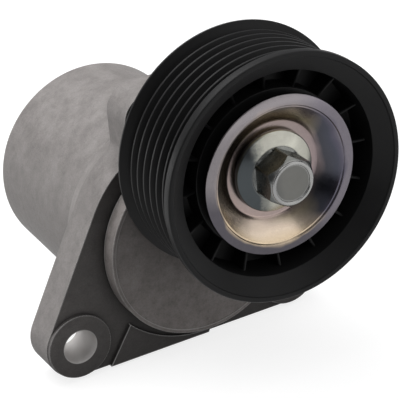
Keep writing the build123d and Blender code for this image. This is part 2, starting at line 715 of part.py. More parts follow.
save(bearing_ring(BEARING_BORE_R, INNER_RING_R, INNER_RACE_R), "bearing_inner_ring")
save(bearing_ring(OUTER_RING_BORE_R, BEARING_R, OUTER_RACE_R), "bearing_outer_ring")

with BuildPart() as bearing_balls:
    with Locations(pulley_plane(GROOVE_CENTRE)):
        with PolarLocations(BALL_PATH_R, BALL_COUNT):
            Sphere(BALL_D / 2)
save(bearing_balls.part, "bearing_balls")

with BuildPart() as bearing_cage:
    with BuildSketch(pulley_plane(GROOVE_CENTRE)):
        Circle(CAGE_R + CAGE_T / 2)
        Circle(CAGE_R - CAGE_T / 2, mode=Mode.SUBTRACT)
    extrude(amount=CAGE_W / 2, both=True)
    with Locations(pulley_plane(GROOVE_CENTRE)):
        with PolarLocations(BALL_PATH_R, BALL_COUNT):
            Cylinder(BALL_D / 2 + BALL_GAP, 3 * CAGE_T, rotation=(0, 90, 0), mode=Mode.SUBTRACT)
save(bearing_cage.part, "bearing_cage")


def bearing_seal(back):
    return washer(
        INNER_RING_R + SEAL_LIP_GAP,
        OUTER_RING_BORE_R - SEAT_GAP,
        back,
        back + SEAL_T,
        PULLEY_SECTION,
        PULLEY_AXIS,
    )


save(bearing_seal(BEARING_BACK + SEAL_INSET), "rear_bearing_seal")
save(bearing_seal(BEARING_FRONT - SEAL_INSET - SEAL_T), "front_bearing_seal")

# ---- dust shields ------------------------------------------------------------------------------------
band_inner = SHIELD_R - SHIELD_BAND_W
band_front = BOLT_SEAT + SHIELD_DISH + SHIELD_STEP
ledge_inner = band_inner - SHIELD_LEDGE_W
front_side = [
    (BOLT_D / 2 + SHIELD_HOLE_GAP, BOLT_SEAT),
    (SHIELD_FLAT_R, BOLT_SEAT),
    (ledge_inner - 0.2, BOLT_SEAT + SHIELD_DISH),
    (band_inner - 0.2, BOLT_SEAT + SHIELD_DISH),
    (band_inner, band_front),
    (SHIELD_R, band_front - SHIELD_BAND_SLOPE),
]
back_side = [
    (SHIELD_R, band_front - SHIELD_BAND_SLOPE - SHIELD_T),
    (band_inner + 0.4, band_front - SHIELD_T),
    (band_inner + 0.2, BOLT_SEAT + SHIELD_DISH - SHIELD_T),
    (ledge_inner + 0.3, BOLT_SEAT + SHIELD_DISH - SHIELD_T),
    (SHIELD_FLAT_R + 0.5, SHIELD_BACK),
    (BOLT_D / 2 + SHIELD_HOLE_GAP, SHIELD_BACK),
]
with BuildPart() as front_dust_shield:
    with BuildSketch(PULLEY_SECTION):
        with BuildLine():
            Polyline(*front_side, *back_side, close=True)
        make_face()
    revolve(axis=PULLEY_AXIS)
save(front_dust_shield.part, "front_dust_shield")

with BuildPart() as rear_dust_shield:
    with BuildSketch(PULLEY_SECTION):
        with BuildLine():
            Polyline(
                (BEARING_BORE_R, BEARING_BACK - SEAT_GAP),
                (BEARING_BORE_R, REAR_SHIELD_BACK),
                (REAR_SHIELD_FLAT_R - 0.4, REAR_SHIELD_BACK),
                (REAR_SHIELD_FLAT_R + 1.0, REAR_SHIELD_BACK - REAR_SHIELD_DISH),
                (REAR_SHIELD_R, REAR_SHIELD_BACK - REAR_SHIELD_DISH),
                (REAR_SHIELD_R, BEARING_BACK - REAR_SHIELD_DISH - SEAT_GAP),
                (REAR_SHIELD_FLAT_R + 1.4, BEARING_BACK - REAR_SHIELD_DISH - SEAT_GAP),
                (REAR_SHIELD_FLAT_R, BEARING_BACK - SEAT_GAP),
                close=True,
            )
        make_face()
    revolve(axis=PULLEY_AXIS)
save(rear_dust_shield.part, "rear_dust_shield")

# ---- pulley bolt with hexagon head and dished flange ---------------------------------------------------
hex_top = BOLT_SEAT + BOLT_HEAD_H
chamfer_drop = (BOLT_AF - BOLT_CHAMFER_R) * tan(radians(30))
with BuildPart() as pulley_bolt:
    with BuildSketch(pulley_plane(BOLT_SEAT + BOLT_FLANGE_T)):
        RegularPolygon(BOLT_AF / 2, 6, major_radius=False, rotation=30)
    extrude(amount=BOLT_HEAD_H - BOLT_FLANGE_T)
    # rounded corners of the head's top
    with BuildSketch(PULLEY_SECTION):
        with BuildLine():
            Polyline(
                (0, BOLT_SEAT),
                (BOLT_AF, BOLT_SEAT),
                (BOLT_AF, hex_top - chamfer_drop),
                (BOLT_CHAMFER_R, hex_top),
                (0, hex_top),
                close=True,
            )
        make_face()
    revolve(axis=PULLEY_AXIS, mode=Mode.INTERSECT)
    with BuildSketch(PULLEY_SECTION):
        with BuildLine():
            Polyline(
                (0, BOLT_SEAT - BOLT_L),
                (BOLT_D / 2 - BOLT_TIP_CHAMFER, BOLT_SEAT - BOLT_L),
                (BOLT_D / 2, BOLT_SEAT - BOLT_L + BOLT_TIP_CHAMFER),
                (BOLT_D / 2, BOLT_SEAT),
                (BOLT_FLANGE_R - BOLT_FLANGE_EDGE, BOLT_SEAT),
                (BOLT_FLANGE_R, BOLT_SEAT + BOLT_FLANGE_EDGE),
                (BOLT_FLANGE_R, BOLT_SEAT + BOLT_FLANGE_T),
                (BOLT_AF / 2 + BOLT_HEAD_ROOT, BOLT_SEAT + BOLT_FLANGE_T + BOLT_FLANGE_RISE),
                (0, BOLT_SEAT + BOLT_FLANGE_T + BOLT_FLANGE_RISE),
                close=True,
            )
        make_face()
    revolve(axis=PULLEY_AXIS)
    with BuildSketch(PULLEY_SECTION):
        with BuildLine():
            Polyline(
                (0, hex_top + 0.5),
                (BOLT_DISH_R, hex_top + 0.5),
                (BOLT_DISH_R, hex_top),
                (BOLT_DISH_R - BOLT_DISH_DEPTH, hex_top - BOLT_DISH_DEPTH),
                (0, hex_top - BOLT_DISH_DEPTH),
                close=True,
            )
        make_face()
    revolve(axis=PULLEY_AXIS, mode=Mode.SUBTRACT)
save(pulley_bolt.part, "pulley_bolt")
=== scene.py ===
"""Looks of the belt tensioner: turned and moulded pieces, and node materials, over the CAD frame.

Radii and "forward" distances are in millimetres. Forward is measured from the mounting face
towards the front, along -Y. Everything given to Blender is in metres."""
import json
import math

import bpy
import bmesh
from mathutils import Matrix, Vector


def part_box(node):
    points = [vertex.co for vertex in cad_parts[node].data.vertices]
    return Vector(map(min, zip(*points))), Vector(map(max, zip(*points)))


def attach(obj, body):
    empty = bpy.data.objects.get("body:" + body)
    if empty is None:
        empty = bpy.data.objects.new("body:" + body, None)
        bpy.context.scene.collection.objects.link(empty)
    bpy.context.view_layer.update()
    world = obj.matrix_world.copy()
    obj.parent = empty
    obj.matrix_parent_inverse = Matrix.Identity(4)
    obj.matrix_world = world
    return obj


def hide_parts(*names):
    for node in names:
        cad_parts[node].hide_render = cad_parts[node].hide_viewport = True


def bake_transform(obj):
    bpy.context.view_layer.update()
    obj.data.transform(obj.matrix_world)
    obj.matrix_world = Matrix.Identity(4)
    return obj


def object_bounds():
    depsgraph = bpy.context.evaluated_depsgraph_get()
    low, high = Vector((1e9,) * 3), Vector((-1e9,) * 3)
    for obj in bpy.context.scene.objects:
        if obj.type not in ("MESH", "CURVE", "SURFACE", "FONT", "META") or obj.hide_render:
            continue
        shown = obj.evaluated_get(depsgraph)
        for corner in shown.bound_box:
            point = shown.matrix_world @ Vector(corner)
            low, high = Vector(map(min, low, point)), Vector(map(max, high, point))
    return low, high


MM = 0.001
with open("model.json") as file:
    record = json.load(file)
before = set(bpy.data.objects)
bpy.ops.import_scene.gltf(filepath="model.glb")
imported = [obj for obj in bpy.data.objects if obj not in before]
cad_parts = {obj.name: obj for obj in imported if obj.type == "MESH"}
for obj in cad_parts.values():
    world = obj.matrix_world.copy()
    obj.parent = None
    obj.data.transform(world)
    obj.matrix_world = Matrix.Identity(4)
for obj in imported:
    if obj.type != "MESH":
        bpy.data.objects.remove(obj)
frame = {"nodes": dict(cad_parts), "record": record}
cad_box = [list(corner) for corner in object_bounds()]
nodes = frame["nodes"]


def centre_of(node):
    low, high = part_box(node)
    return (low + high) / 2


PULLEY_AXIS = centre_of("pulley")


# ---- mesh building --------------------------------------------------------------------------
WELD_DISTANCE = 0.001 * MM
SLIVER_WIDTH = 0.0005 * MM
LONGEST_FILLET = 0.49   # share of an outline's side that one fillet may take


def new_piece(name, mesh, material_slot, body, replaced, sharp=40):
    """Puts a finished mesh into the scene, riding its body in place of CAD nodes."""
    mesh.materials.append(SLOT_MATERIALS[material_slot])
    mesh.shade_smooth()
    mesh.set_sharp_from_angle(angle=math.radians(sharp))
    piece = bpy.data.objects.new(name, mesh)
    bpy.context.scene.collection.objects.link(piece)
    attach(piece, body)
    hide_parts(replaced)
    return piece


def rounded(corners, steps=4):
    """Closed outline with its corners turned into arcs: corners are (radius, forward, fillet)."""
    outline = []
    count = len(corners)
    for index, corner in enumerate(corners):
        here = Vector(corner[:2])
        fillet = corner[2] if len(corner) > 2 else 0
        to_last = Vector(corners[index - 1][:2]) - here
        to_next = Vector(corners[(index + 1) % count][:2]) - here
        if fillet == 0:
            outline.append(here)
            continue
        half = to_last.angle(to_next) / 2
        shorter = min(to_last.length, to_next.length)
        reach = min(fillet / math.tan(half), LONGEST_FILLET * shorter)
        fillet = reach * math.tan(half)
        middle = (to_last.normalized() + to_next.normalized()).normalized()
        centre = here + middle * fillet / math.sin(half)
        start = here + to_last.normalized() * reach - centre
        end = here + to_next.normalized() * reach - centre
        sweep = start.angle_signed(end)
        for step in range(steps + 1):
            turn = Matrix.Rotation(-sweep * step / steps, 2)
            outline.append(centre + turn @ start)
    return outline


def lathe(bm, outline, axis, segments=240, closed=True, shape=None):
    """Turns an outline of (radius, forward) in mm about a front-to-back axis.
    shape(angle, radius, forward) may move each point, for a hexagon or a wavy rim."""
    rings = []
    for segment in range(segments):
        angle = 2 * math.pi * segment / segments
        ring = []
        for radius, forward in outline:
            if shape:
                radius, forward = shape(angle, radius, forward)
            ring.append(bm.verts.new((
                axis.x + radius * MM * math.cos(angle),
                -forward * MM,
                axis.z + radius * MM * math.sin(angle),
            )))
        rings.append(ring)
    count = len(outline)
    for segment in range(segments):
        ring, after = rings[segment], rings[(segment + 1) % segments]
        for index in range(count if closed else count - 1):
            follow = (index + 1) % count
            bm.faces.new((ring[index], after[index], after[follow], ring[follow]))
    return bm


def finish_mesh(bm, name):
    """Welds points that lie together, drops faces without width and turns all faces outwards."""
    bmesh.ops.remove_doubles(bm, verts=bm.verts, dist=WELD_DISTANCE)
    bmesh.ops.dissolve_degenerate(bm, edges=bm.edges, dist=SLIVER_WIDTH)
    bmesh.ops.recalc_face_normals(bm, faces=bm.faces)
    mesh = bpy.data.meshes.new(name)
    bm.to_mesh(mesh)
    bm.free()
    return mesh


# ---- node materials -----------------------------------------------------------------------
class Nodes:
    """Short calls for building one material's node tree."""

    def __init__(self, name):
        self.material = bpy.data.materials.new(name)
        self.material.use_nodes = True
        self.tree = self.material.node_tree
        self.shader = self.tree.nodes["Principled BSDF"]

    def add(self, kind, **values):
        node = self.tree.nodes.new(kind)
        for key, value in values.items():
            if hasattr(node, key):
                setattr(node, key, value)
            else:
                node.inputs[key.replace("_", " ").title()].default_value = value
        return node

    def link(self, source, target):
        self.tree.links.new(source, target)

    def position(self, scale=(1, 1, 1), origin=(0, 0, 0)):
        """Object coordinates in millimetres, measured from an origin and stretched."""
        coords = self.add("ShaderNodeTexCoord")
        mapping = self.add("ShaderNodeMapping")
        mapping.inputs["Scale"].default_value = [s / MM for s in scale]
        mapping.inputs["Location"].default_value = [-o / MM * s for o, s in zip(origin, scale)]
        self.link(coords.outputs["Object"], mapping.inputs["Vector"])
        return mapping.outputs["Vector"]

    def noise(self, vector, scale, detail=3.0, roughness=0.55):
        node = self.add("ShaderNodeTexNoise", scale=scale, detail=detail, roughness=roughness)
        self.link(vector, node.inputs["Vector"])
        return node.outputs["Fac"]

    def ramp(self, value, stops):
        """stops: (position, colour or grey)."""
        node = self.add("ShaderNodeValToRGB")
        while len(node.color_ramp.elements) < len(stops):
            node.color_ramp.elements.new(0.5)
        for element, (at, colour) in zip(node.color_ramp.elements, stops):
            element.position = at
            if not hasattr(colour, "__len__"):
                colour = (colour, colour, colour)
            element.color = (*colour, 1)
        self.link(value, node.inputs["Fac"])
        return node.outputs["Color"]

    def mix(self, factor, first, second, blend="MIX"):
        node = self.add("ShaderNodeMix", data_type="RGBA", blend_type=blend)
        # sockets 0, 6 and 7 of a colour mix are its factor and its two colours
        for index, item in ((0, factor), (6, first), (7, second)):
            if hasattr(item, "is_linked"):
                self.link(item, node.inputs[index])
            elif index and not hasattr(item, "__len__"):
                node.inputs[index].default_value = (item, item, item, 1)
            elif index:
                node.inputs[index].default_value = (*item, 1)
            else:
                node.inputs[index].default_value = item
        return node.outputs[2]

    def math(self, operation, first, second=0.0):
        node = self.add("ShaderNodeMath", operation=operation)
        for index, item in enumerate((first, second)):
            if hasattr(item, "is_linked"):
                self.link(item, node.inputs[index])
            else:
                node.inputs[index].default_value = item
        return node.outputs[0]

    def reach(self, place):
        """Distance of a place from the front-to-back axis through its origin."""
        flat = self.add("ShaderNodeVectorMath", operation="MULTIPLY")
        self.link(place, flat.inputs[0])
        flat.inputs[1].default_value = (1, 0, 1)
        length = self.add("ShaderNodeVectorMath", operation="LENGTH")
        self.link(flat.outputs["Vector"], length.inputs[0])
        return length.outputs["Value"]

    def along(self, place, direction):
        """How far a place lies in a direction."""
        node = self.add("ShaderNodeVectorMath", operation="DOT_PRODUCT")
        self.link(place, node.inputs[0])
        node.inputs[1].default_value = direction
        return node.outputs["Value"]

    def bump(self, height, strength, distance, normal=None):
        node = self.add("ShaderNodeBump", strength=strength, distance=distance * MM)
        self.link(height, node.inputs["Height"])
        if normal is not None:
            self.link(normal, node.inputs["Normal"])
        return node.outputs["Normal"]

    def set(self, **values):
        for key, value in values.items():
            self.shader.inputs[key.replace("_", " ")].default_value = value

    def wire(self, **sockets):
        for key, socket in sockets.items():
            self.link(socket, self.shader.inputs[key.replace("_", " ")])


EDGE_ROUNDING = 0.25    # radius that the shading gives to an edge
EDGE_LINE_REACH = 0.4        # how far the bright edge, partly rubbed metal and partly painted highlight, runs in from an edge
SHADE_REACH = 22.0      # how near another surface darkens a casting with painted shade
# colour of the bright edges: partly rubbed bare metal, partly painted highlight
BARE_METAL_AND_GLINT = (0.7, 0.69, 0.68)
BORE_METAL = (0.62, 0.60, 0.585)
BORE_WALL = 5.1         # radius round a hole's axis that counts as its wall
BORE_FADE = 0.1
BORE_SPAN = 20.0        # radius at the end of the bore's ramp
FLANGE_FRONT = 11.0     # forward face of the mounting flange
FACE_MARGIN = 0.1       # a face and what lies this near to it are treated alike
WORN_AND_LIT_BAND = 1.0         # of the flange's edge behind its darkened front (partly a darker cast surface, partly painted shade) that still gets bright edges


def worn_and_lit_edges(m):
    """1 on convex edges and 0 on open faces, where edges are painted bright (partly rubbed metal,
    partly painted highlight): a ray sent inwards soon leaves the metal at an edge.
    """
    inner = m.add("ShaderNodeAmbientOcclusion", samples=8, inside=True, only_local=True)
    inner.inputs["Distance"].default_value = EDGE_LINE_REACH * MM
    return m.ramp(inner.outputs["AO"], [(0.62, 1.0), (0.9, 0.0)])


def bore_wall(m, bore, rearward):
    """1 on the wall of a bolt hole, from the mounting face forward."""
    apart = m.math("DIVIDE", m.reach(m.position(origin=bore)), BORE_SPAN)
    inside = m.ramp(apart, [(BORE_WALL / BORE_SPAN, 1.0), ((BORE_WALL + BORE_FADE) / BORE_SPAN, 0.0)])
    return m.math("MULTIPLY", inside, m.math("LESS_THAN", rearward, FACE_MARGIN))


def cast_aluminium(
    name, dark, light, roughness=(0.46, 0.64), corner_shade=0.3, stained=0.9, skin_and_shade=None, bores=(),
):
    """Sand-grained casting, stained, its edges painted bright (partly rubbed metal, partly painted
    highlight), and darkened by painted shade in its corners.
    The skin argument is (depth, shade): what lies further forward than depth is darkened by shade,
    partly a darker cast surface and partly painted shade."""
    m = Nodes(name)
    place = m.position()
    cloud = m.noise(place, 0.16, 5.0, 0.62)
    grain = m.noise(place, 2.2, 3.0, 0.7)
    colour = m.mix(m.ramp(cloud, [(0.35, 0.0), (0.68, 1.0)]), dark, light)
    speck = m.ramp(grain, [(0.30, 0.84), (0.55, 1.0), (0.72, 1.08)])
    colour = m.mix(1.0, colour, speck, "MULTIPLY")
    stain = m.ramp(m.noise(place, 0.42, 6.0, 0.72), [(0.36, stained), (0.5, 1.0), (0.7, 1.05)])
    colour = m.mix(1.0, colour, stain, "MULTIPLY")
    round_edge = m.add("ShaderNodeBevel", samples=6)
    round_edge.inputs["Radius"].default_value = EDGE_ROUNDING * MM
    worn_and_lit = worn_and_lit_edges(m)
    axes = m.add("ShaderNodeSeparateXYZ")
    m.link(place, axes.inputs[0])
    rearward = axes.outputs["Y"]
    # the flange's front face painted darker: partly a darker cast surface, partly painted shade
    if skin_and_shade:
        depth, shade = skin_and_shade
        behind = m.math("GREATER_THAN", rearward, -depth)
        worn_and_lit = m.math("MULTIPLY", worn_and_lit, m.math("LESS_THAN", rearward, WORN_AND_LIT_BAND - depth))
        colour = m.mix(1.0, colour, m.ramp(behind, [(0.0, shade), (1.0, 1.0)]), "MULTIPLY")
    # painted shade: darker where other surfaces come near, in corners and crevices
    corner = m.add("ShaderNodeAmbientOcclusion", samples=8)
    corner.inputs["Distance"].default_value = SHADE_REACH * MM
    painted_corner_shade = m.ramp(corner.outputs["AO"], [(0.3, corner_shade), (0.92, 1.0)])
    colour = m.mix(1.0, colour, painted_corner_shade, "MULTIPLY")
    # edges painted bright: partly rubbed bare metal, partly painted highlight
    colour = m.mix(m.math("MULTIPLY", worn_and_lit, 0.6), colour, BARE_METAL_AND_GLINT)
    for bore in bores:
        colour = m.mix(bore_wall(m, bore, rearward), colour, BORE_METAL)
    m.wire(Base_Color=colour)
    m.wire(Roughness=m.ramp(cloud, [(0.3, roughness[0]), (0.7, roughness[1])]))
    pits = m.bump(grain, 0.35, 0.12, round_edge.outputs["Normal"])
    m.wire(Normal=m.bump(m.noise(place, 0.5, 2.0), 0.2, 0.2, pits))
    m.set(Specular_IOR_Level=0.2)
    return m.material


def moulded_plastic(name, grey=0.009, roughness=(0.36, 0.5)):
    """Nearly black moulding with a fine texture and a slow change of sheen."""
    m = Nodes(name)
    place = m.position()
    fine = m.noise(place, 3.0, 3.0, 0.6)
    cloud = m.noise(place, 0.12, 3.0)
    m.wire(Base_Color=m.mix(cloud, (grey * 0.8,) * 3, (grey * 1.25, grey * 1.25, grey * 1.32)))
    texture = m.math("ADD", fine, m.math("MULTIPLY", cloud, 0.4))
    m.wire(Roughness=m.ramp(texture, [(0.4, roughness[0]), (0.95, roughness[1])]))
    m.wire(Normal=m.bump(fine, 0.25, 0.05))
    m.set(Specular_IOR_Level=0.15)
    return m.material


def turned_steel(name, colour, roughness=0.25):
    """Machined metal with faint streaks."""
    m = Nodes(name)
    place = m.position()
    streak = m.noise(place, 1.5, 4.0, 0.7)
    m.wire(Base_Color=m.mix(streak, colour, tuple(min(1.0, c * 1.25) for c in colour)))
    m.wire(Roughness=m.ramp(streak, [(0.3, roughness * 0.8), (0.7, roughness * 1.4)]))
    m.wire(Normal=m.bump(streak, 0.04, 0.01))
    m.set(Metallic=1.0)
    return m.material


SHIELD_SPAN = 24.0      # distances on the shield and across the bolt are shares of this
BOLT_SPAN = 12.0        # radii on the bolt are shares of this


def plated_forging(name):
    """Zinc-plated bolt: dull in the dish; its coat painted darker low on its left as a painted
    reflection, and its rolled ring brighter and its dish darker, partly turned finish and partly
    painted highlight and reflection.
    """
    m = Nodes(name)
    place = m.position(origin=(PULLEY_AXIS.x, 0, PULLEY_AXIS.z))
    streak = m.noise(place, 0.5, 4.0, 0.65)
    # painted reflection: the coat's tone is painted dark low on the bolt's left, over its own lighter
    # tone
    across = m.math("DIVIDE", m.along(place, (-0.98, 0, -0.1)), SHIELD_SPAN)
    side = m.math("ADD", across, m.math("MULTIPLY", streak, 0.2))
    plating_and_reflection = m.ramp(m.math("ADD", side, 0.4), [
        (0.6, (0.37, 0.365, 0.32)),
        (0.76, (0.055, 0.062, 0.066)),
    ])
    ring = m.math("DIVIDE", m.reach(place), BOLT_SPAN)
    in_dish = m.ramp(ring, [(0.405, 1.0), (0.43, 0.0)])
    on_head = m.ramp(ring, [(0.62, 1.0), (0.66, 0.0)])
    # dish darker and rolled ring brighter: partly turned finish, partly painted reflection and
    # highlight
    turned = m.ramp(ring, [
        (0.40, (0.10, 0.10, 0.098)),
        (0.425, 0.28),
        (0.525, 0.28),
        (0.55, (0.13, 0.134, 0.13)),
    ])
    tint = m.mix(m.math("MULTIPLY", on_head, 0.85), plating_and_reflection, turned)
    m.wire(Base_Color=m.mix(1.0, tint, m.ramp(streak, [(0.3, 0.93), (0.7, 1.06)]), "MULTIPLY"))
    dull = m.math("ADD", m.math("MULTIPLY", in_dish, 0.16), m.math("MULTIPLY", on_head, 0.05))
    m.wire(Roughness=m.math("ADD", m.math("ADD", dull, 0.07), m.math("MULTIPLY", streak, 0.3)))
    m.wire(Normal=m.bump(streak, 0.05, 0.02))
    m.set(Metallic=1.0)
    return m.material


def passivated_sheet(name):
    """Pressed steel with a passivated zinc coat, whose tint drifts from ring to ring and by side,
    partly the coat's own colour and partly painted reflection: bright yellowish low on the left, dark
    bluish on the right.
    """
    m = Nodes(name)
    place = m.position(origin=(PULLEY_AXIS.x, 0, PULLEY_AXIS.z))
    drift = m.math("SUBTRACT", m.noise(place, 0.11, 2.0, 0.4), 0.5)
    ring = m.math("DIVIDE", m.reach(place), SHIELD_SPAN)
    ring = m.math("ADD", ring, m.math("MULTIPLY", drift, 0.16))
    olive = m.ramp(ring, [
        (0.36, (0.26, 0.22, 0.21)),
        (0.56, (0.25, 0.20, 0.19)),
        (0.62, (0.36, 0.31, 0.19)),
        (0.74, (0.38, 0.31, 0.24)),
        (0.80, (0.25, 0.215, 0.205)),
        (0.86, (0.19, 0.175, 0.182)),
    ])
    straw_and_highlight = m.ramp(ring, [
        (0.36, (0.33, 0.27, 0.25)),
        (0.56, (0.31, 0.24, 0.22)),
        (0.64, (0.48, 0.40, 0.33)),
        (0.72, (0.58, 0.48, 0.38)),
        (0.80, (0.54, 0.43, 0.30)),
        (0.86, (0.085, 0.079, 0.09)),
    ])
    blue_and_dark_reflection = m.ramp(ring, [
        (0.36, (0.26, 0.22, 0.21)),
        (0.56, (0.24, 0.19, 0.19)),
        (0.64, (0.055, 0.056, 0.066)),
        (0.74, (0.058, 0.061, 0.078)),
        (0.80, (0.085, 0.08, 0.105)),
        (0.86, (0.15, 0.137, 0.157)),
    ])

    def side(direction, first, last):
        """0 to 1 along a direction, from the first to the last share of the shield's span."""
        across = m.math("DIVIDE", m.along(place, direction), SHIELD_SPAN)
        share = m.math("ADD", across, m.math("MULTIPLY", drift, 0.35))
        return m.ramp(share, [(first, 0.0), (last, 1.0)])

    # tint by side: partly the coat's own colour, partly painted reflection (dark bluish to the right,
    # bright yellowish highlight low on the left)
    tint = m.mix(side((0.98, 0, -0.15), 0.12, 0.5), olive, blue_and_dark_reflection)
    tint = m.mix(side((-0.45, 0, -0.89), 0.25, 0.6), tint, straw_and_highlight)
    fine = m.noise(place, 1.2, 3.0, 0.6)
    m.wire(Base_Color=m.mix(1.0, tint, m.ramp(fine, [(0.3, 0.93), (0.7, 1.05)]), "MULTIPLY"))
    m.wire(Roughness=m.ramp(fine, [(0.3, 0.2), (0.7, 0.27)]))
    m.wire(Normal=m.bump(fine, 0.02, 0.01))
    m.set(Metallic=1.0)
    return m.material


BOLT_HOLES = []
for opening in frame["record"]["physics"]["openings"]:
    low, high = (Vector(corner) for corner in opening["box_m"])
    BOLT_HOLES.append((low + high) / 2)

SLOT_MATERIALS = {
    "cast_housing": cast_aluminium(
        "cast_housing", (0.205, 0.190, 0.183), (0.282, 0.264, 0.255),
        # front face painted darker: partly a darker cast surface, partly painted shade
        skin_and_shade=(FLANGE_FRONT - FACE_MARGIN, 0.5), bores=BOLT_HOLES,
    ),
    "cast_arm": cast_aluminium(
        "cast_arm", (0.242, 0.220, 0.210), (0.33, 0.302, 0.29), (0.42, 0.56),
        # weaker painted corner shade on the arm
        corner_shade=0.85, stained=0.8,
    ),
    "pulley_plastic": moulded_plastic("pulley_plastic"),
    "plated_sheet": passivated_sheet("plated_sheet"),
    "plated_bolt": plated_forging("plated_bolt"),
    "bearing_steel": turned_steel("bearing_steel", (0.6, 0.6, 0.61), 0.18),
    "cage_polymer": moulded_plastic("cage_polymer", 0.06),
    "seal_rubber": moulded_plastic("seal_rubber", 0.012, (0.5, 0.7)),
    "spring_steel": turned_steel("spring_steel", (0.2, 0.2, 0.21), 0.35),
    "wear_polymer": moulded_plastic("wear_polymer", 0.03, (0.4, 0.6)),
    "bushing_bronze": turned_steel("bushing_bronze", (0.5, 0.34, 0.17), 0.35),
    "pivot_steel": turned_steel("pivot_steel", (0.5, 0.5, 0.51), 0.25),
}
for entry in frame["record"]["subparts"]:
    node = nodes[entry["node"]]
    node.data.materials.clear()
    node.data.materials.append(SLOT_MATERIALS[entry["material_slot"]])


# ---- pulley -----------------------------------------------------------------------------------
GROOVE_COUNT = 7
GROOVE_PITCH = 3.56
GROOVE_MIDDLE = 33.2    # forward place of the middle groove
GROOVE_FLANK = 20       # degrees between a flank and the groove's own axis
CREST_R = 33.96
GROOVE_FLOOR_R = 31.26
GROOVE_HALF_TOP = 1.43
GROOVE_HALF_FLOOR = 0.447
RIM_BORE_R = 29.3       # of the rim at its two ends, and its root at the web
RIM_ROOT_R = 29.1
LAND_R = 34.1           # step between the rim's front edge and its dished face
LAND_FOOT_R = 33.9
LAND_STEP = 0.45
DISH_DEPTH = 3.75
WEB_BACK = 31.7
WEB_FRONT = 34.7
HUB_R = 23.0
HUB_ROOT_R = 23.2
HUB_BACK = 26.1
HUB_FRONT = 40.3
LIP_R = 18.8            # of the hub's two lips, which hold the bearing in its pocket
POCKET_R = 20.05
POCKET_BACK = 27.15
POCKET_FRONT = 39.25
RIB_COUNT = 16
RIB_INNER_R = 22.6
RIB_OUTER_R = 29.6
RIB_SINK = 0.4          # of a front rib's foot into the web
RIB_EDGE = 0.18         # width of the bevel on a rib's edges


def pulley_size():
    """(rim radius, back, front) of the pulley in mm, from its CAD node."""
    low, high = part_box("pulley")
    return (high.x - low.x) / 2 / MM, -high.y / MM, -low.y / MM


def pulley_outline():
    """Half section: rim with its grooves, dished front face, web and hub."""
    rim, back, front = pulley_size()
    flank = (rim - GROOVE_FLOOR_R) * math.tan(math.radians(GROOVE_FLANK)) + GROOVE_HALF_FLOOR
    first = GROOVE_MIDDLE - (GROOVE_COUNT - 1) / 2 * GROOVE_PITCH
    last = GROOVE_MIDDLE + (GROOVE_COUNT - 1) / 2 * GROOVE_PITCH
    outline = [
        (RIM_BORE_R, back, 0.25),
        (rim, back, 0.55),
        (rim, first - flank, 0.25),
    ]
    for groove in range(GROOVE_COUNT):
        centre = first + groove * GROOVE_PITCH
        if groove > 0:
            outline.append((CREST_R, centre - GROOVE_HALF_TOP, 0.22))
        outline.append((GROOVE_FLOOR_R, centre - GROOVE_HALF_FLOOR, 0.25))
        outline.append((GROOVE_FLOOR_R, centre + GROOVE_HALF_FLOOR, 0.25))
        if groove < GROOVE_COUNT - 1:
            outline.append((CREST_R, centre + GROOVE_HALF_TOP, 0.22))
    outline += [
        (rim, last + flank, 0.25),
        (rim, front, 0.5),
        (LAND_R, front, 0.12),
        (LAND_FOOT_R, front - LAND_STEP, 0.12),
        (RIM_BORE_R, front - DISH_DEPTH, 0.35),
        (RIM_ROOT_R, WEB_FRONT, 0.4),
        (HUB_ROOT_R, WEB_FRONT, 0.4),
        (HUB_R, HUB_FRONT, 0.3),
        (LIP_R, HUB_FRONT, 0.2),
        (LIP_R, POCKET_FRONT, 0.1),
        (POCKET_R, POCKET_FRONT, 0),
        (POCKET_R, POCKET_BACK, 0),
        (LIP_R, POCKET_BACK, 0.1),
        (LIP_R, HUB_BACK, 0.2),
        (HUB_R, HUB_BACK, 0.3),
        (HUB_ROOT_R, WEB_BACK, 0.4),
        (RIM_ROOT_R, WEB_BACK, 0.4),
    ]
    return rounded(outline)


def add_rib(bm, angle, corners, thickness, taper):
    """A radial rib. Corners are (radius, forward), the first two at its foot.
    It is thinner by taper at its free edge."""
    along = Vector((math.cos(angle), 0, math.sin(angle)))
    across = Vector((-math.sin(angle), 0, math.cos(angle)))
    sides = []
    for side in (-1, 1):
        ring = []
        for index, (radius, forward) in enumerate(corners):
            half = (thickness - (taper if index > 1 else 0)) / 2
            place = Vector((PULLEY_AXIS.x, -forward * MM, PULLEY_AXIS.z))
            place += along * radius * MM + across * side * half * MM
            ring.append(bm.verts.new(place))
        sides.append(ring)
    count = len(corners)
    faces = [bm.faces.new(sides[0]), bm.faces.new(reversed(sides[1]))]
    for index in range(count):
        follow = (index + 1) % count
        near, far = sides
        faces.append(bm.faces.new((near[follow], near[index], far[index], far[follow])))
    edges = {edge for face in faces for edge in face.edges}
    bmesh.ops.bevel(bm, geom=list(edges), offset=RIB_EDGE * MM, segments=2, affect="EDGES")


